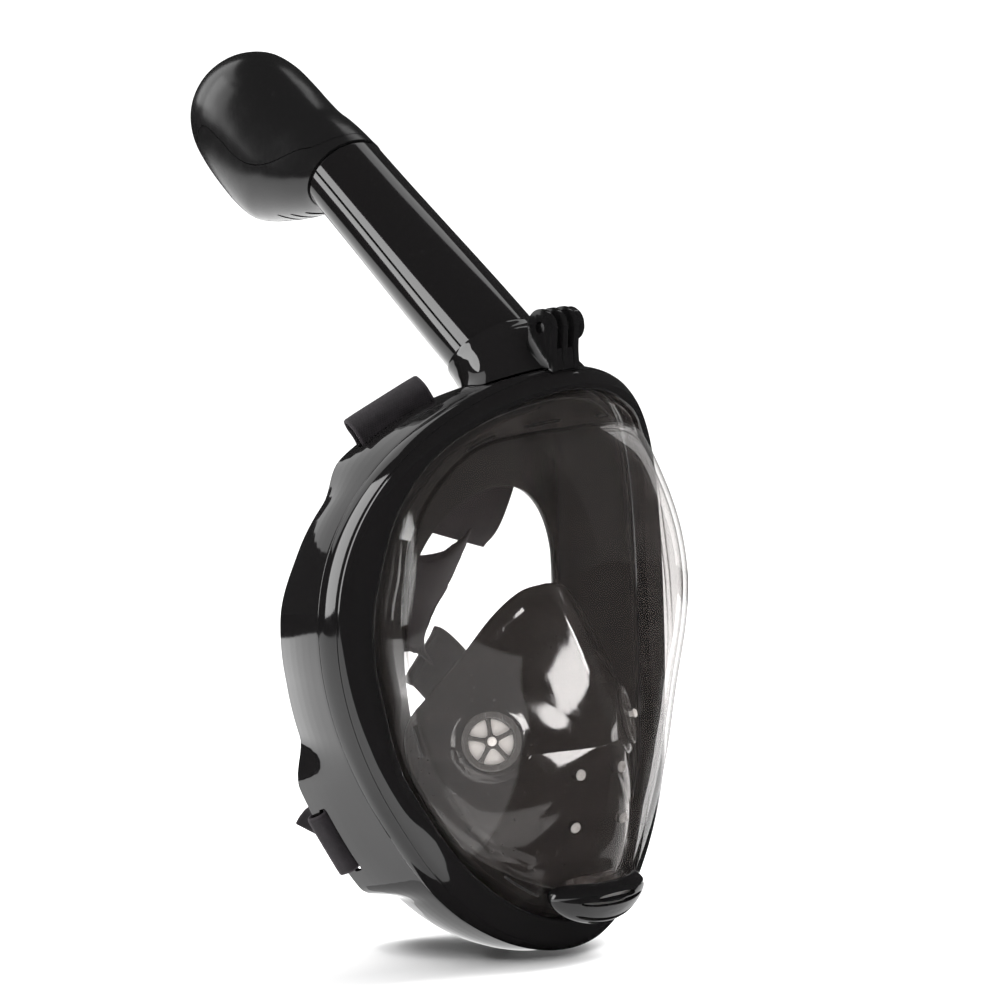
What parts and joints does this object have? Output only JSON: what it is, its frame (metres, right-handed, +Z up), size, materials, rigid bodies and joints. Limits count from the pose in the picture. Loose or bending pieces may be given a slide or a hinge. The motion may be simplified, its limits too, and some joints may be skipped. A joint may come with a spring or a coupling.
{
  "type": "full face snorkel mask",
  "caption": "Full face snorkel mask: clear bulged window in a black frame, breathing pocket with valves, strap harness, camera fitting and a leaning dry-top snorkel tube.",
  "frame": {"origin": "centre of the face opening, where the soft seal meets the face", "axes": "+Z up as worn, -Y out through the window, +X to the wearer's left"},
  "size_m": [0.193, 0.2329, 0.3854],
  "materials": {
    "gloss_black": "gloss moulded frame",
    "clear_lens": "clear polycarbonate window",
    "bezel_black": "gloss moulded ring",
    "black_silicone": "satin silicone seal",
    "smoke_silicone": "polished smoky silicone",
    "grid_plastic": "pale moulded grid",
    "flap_silicone": "soft pale silicone",
    "stud_plastic": "grey snap stud",
    "strap_fabric": "elastic neoprene webbing",
    "cover_black": "gloss valve cover",
    "mount_black": "gloss camera fitting",
    "neck_black": "gloss socket housing",
    "tube_black": "gloss tube shell",
    "core_plastic": "inner duct",
    "gasket_rubber": "seal",
    "cap_black": "gloss cap",
    "float_white": "light float",
    "valve_plate_plastic": "valve seat plastic"
  },
  "bodies": {
    "mask": {"camera_mount": "mount_black", "camera_nut": "mount_black", "chin_valve_cover": "cover_black", "chin_valve_seat": "valve_plate_plastic", "cup_stud_1": "stud_plastic", "cup_stud_2": "stud_plastic", "cup_stud_3": "stud_plastic", "cup_stud_4": "stud_plastic", "face_skirt": "black_silicone", "front_bezel": "bezel_black", "harness_pad": "strap_fabric", "inhale_grid_left": "grid_plastic", "inhale_grid_right": "grid_plastic", "lens": "clear_lens", "neck": "neck_black", "orinasal_cup": "smoke_silicone", "rear_frame": "gloss_black", "strap_lower_left": "strap_fabric", "strap_lower_right": "strap_fabric", "strap_upper_left": "strap_fabric", "strap_upper_right": "strap_fabric"},
    "snorkel": {"tube_front_shell": "tube_black", "tube_rear_shell": "tube_black", "tube_core": "core_plastic", "socket_gasket": "gasket_rubber", "cap_shell": "cap_black", "cap_base": "cap_black", "valve_plate": "valve_plate_plastic"},
    "float": {"float_block": "float_white", "float_seal": "gasket_rubber"},
    "inhale_flap_left": {"inhale_flap_left": "flap_silicone"},
    "inhale_flap_right": {"inhale_flap_right": "flap_silicone"},
    "chin_flap": {"chin_flap": "flap_silicone"}
  },
  "joints": [
    {"name": "snorkel_pull", "type": "slide", "parent": "mask", "child": "snorkel", "axis": [0, 0.7431, 0.6691], "range_m": [0, 0.03]},
    {"name": "float_rise", "type": "slide", "parent": "snorkel", "child": "float", "axis": [0, 0.7431, 0.6691], "range_m": [0, 0.008]},
    {"name": "inhale_left_open", "type": "slide", "parent": "mask", "child": "inhale_flap_left", "axis": [-0.6191, 0.7689, -0.1598], "range_m": [0, 0.0012], "stiffness_N_per_m": 60},
    {"name": "inhale_right_open", "type": "slide", "parent": "mask", "child": "inhale_flap_right", "axis": [0.6191, 0.7689, -0.1598], "range_m": [0, 0.0012], "stiffness_N_per_m": 60},
    {"name": "chin_valve_open", "type": "slide", "parent": "mask", "child": "chin_flap", "axis": [0, -0.8, -0.6], "range_m": [0, 0.0015], "stiffness_N_per_m": 60}
  ]
}
